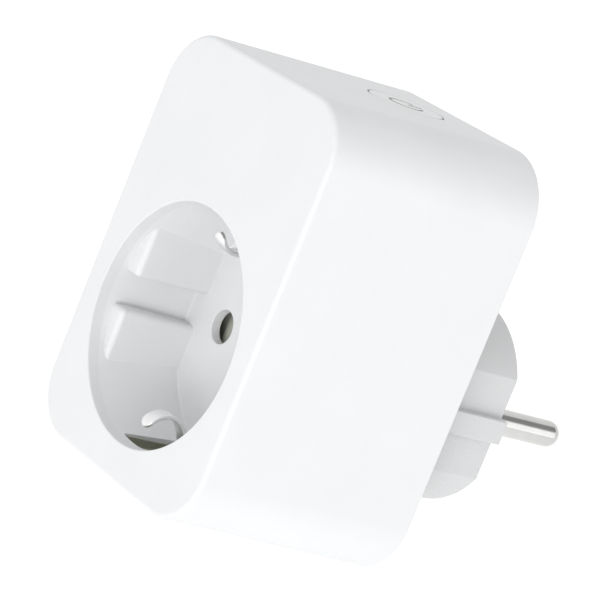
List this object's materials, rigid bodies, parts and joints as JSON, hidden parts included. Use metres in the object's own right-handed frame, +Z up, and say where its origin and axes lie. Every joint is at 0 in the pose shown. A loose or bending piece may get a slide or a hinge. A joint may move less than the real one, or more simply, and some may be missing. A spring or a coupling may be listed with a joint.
{
  "type": "plug-in power meter",
  "caption": "Box-shaped plug-in mains energy meter with a recessed earthed socket in front, an earthed plug behind and a round push button on top.",
  "frame": {"origin": "centre of the plug face, midway between the two pins", "axes": "+Y along the pins, away from the body; -Y out of the socket; +Z up, towards the button; +X to the right seen from the socket side"},
  "size_m": [0.0544, 0.0822, 0.0759],
  "materials": {
    "shell_white": "fine satin moulded plastic",
    "well_white": "fine satin moulded plastic",
    "plug_white": "fine satin moulded plastic, slightly greyer",
    "button_white": "fine satin moulded plastic",
    "nickel": "bright nickel plate",
    "spring_metal": "stamped spring bronze, tinned",
    "brass": "stamped brass",
    "copper": "copper",
    "steel": "zinc-plated steel",
    "carrier_grey": "moulded heat-resistant plastic",
    "board_green": "circuit board with solder mask",
    "relay_black": "moulded plastic",
    "film_yellow": "moulded plastic",
    "varistor_blue": "dipped epoxy",
    "core_grey": "dark ceramic",
    "sleeve_dark": "shrink sleeve",
    "ceramic_white": "ceramic",
    "guide_clear": "clear moulded plastic"
  },
  "bodies": {
    "housing": {"front_shell": "shell_white", "socket_well": "well_white", "back_cover": "plug_white", "plug_pin_neutral": "nickel", "plug_pin_line": "nickel", "earth_strip_upper": "spring_metal", "earth_strip_lower": "spring_metal", "earth_yoke": "spring_metal", "contact_carrier": "carrier_grey", "receptacle_contact_neutral": "brass", "receptacle_contact_line": "brass", "shutter_spring": "steel", "tact_switch_body": "relay_black", "indicator_led": "ceramic_white", "main_board": "board_green", "control_board": "board_green", "board_header": "relay_black", "radio_shield": "steel", "relay": "relay_black", "film_capacitor": "film_yellow", "varistor": "varistor_blue", "transformer_core": "core_grey", "transformer_winding": "copper", "bulk_capacitor_upper": "sleeve_dark", "bulk_capacitor_lower": "sleeve_dark", "fuse": "ceramic_white", "choke": "copper", "shunt_resistor": "copper", "metering_chip": "relay_black", "bus_bar_line": "copper", "bus_bar_neutral": "copper", "cover_screw_1": "steel", "cover_screw_2": "steel", "cover_screw_3": "steel", "cover_screw_4": "steel", "board_screw_1": "steel", "board_screw_2": "steel", "carrier_screw_1": "steel", "carrier_screw_2": "steel"},
    "button": {"button_cap": "button_white", "button_light_guide": "guide_clear"},
    "tact_plunger": {"tact_switch_plunger": "core_grey"},
    "shutter": {"shutter_slide": "carrier_grey"}
  },
  "joints": [
    {"name": "button_press", "type": "slide", "parent": "housing", "child": "button", "axis": [0, 0, -1], "range_m": [0, 0.0005], "stiffness_N_per_m": 1500, "springref_m": -0.0004},
    {"name": "tact_press", "type": "slide", "parent": "housing", "child": "tact_plunger", "axis": [0, 0, -1], "range_m": [0, 0.0005]},
    {"name": "shutter_open", "type": "slide", "parent": "housing", "child": "shutter", "axis": [1, 0, 0], "range_m": [0, 0.0062], "stiffness_N_per_m": 80, "springref_m": -0.003, "deforming": ["shutter_spring"]}
  ],
  "couplings": [
    {"joint": "tact_press", "follows": "button_press", "ratio": 1}
  ]
}
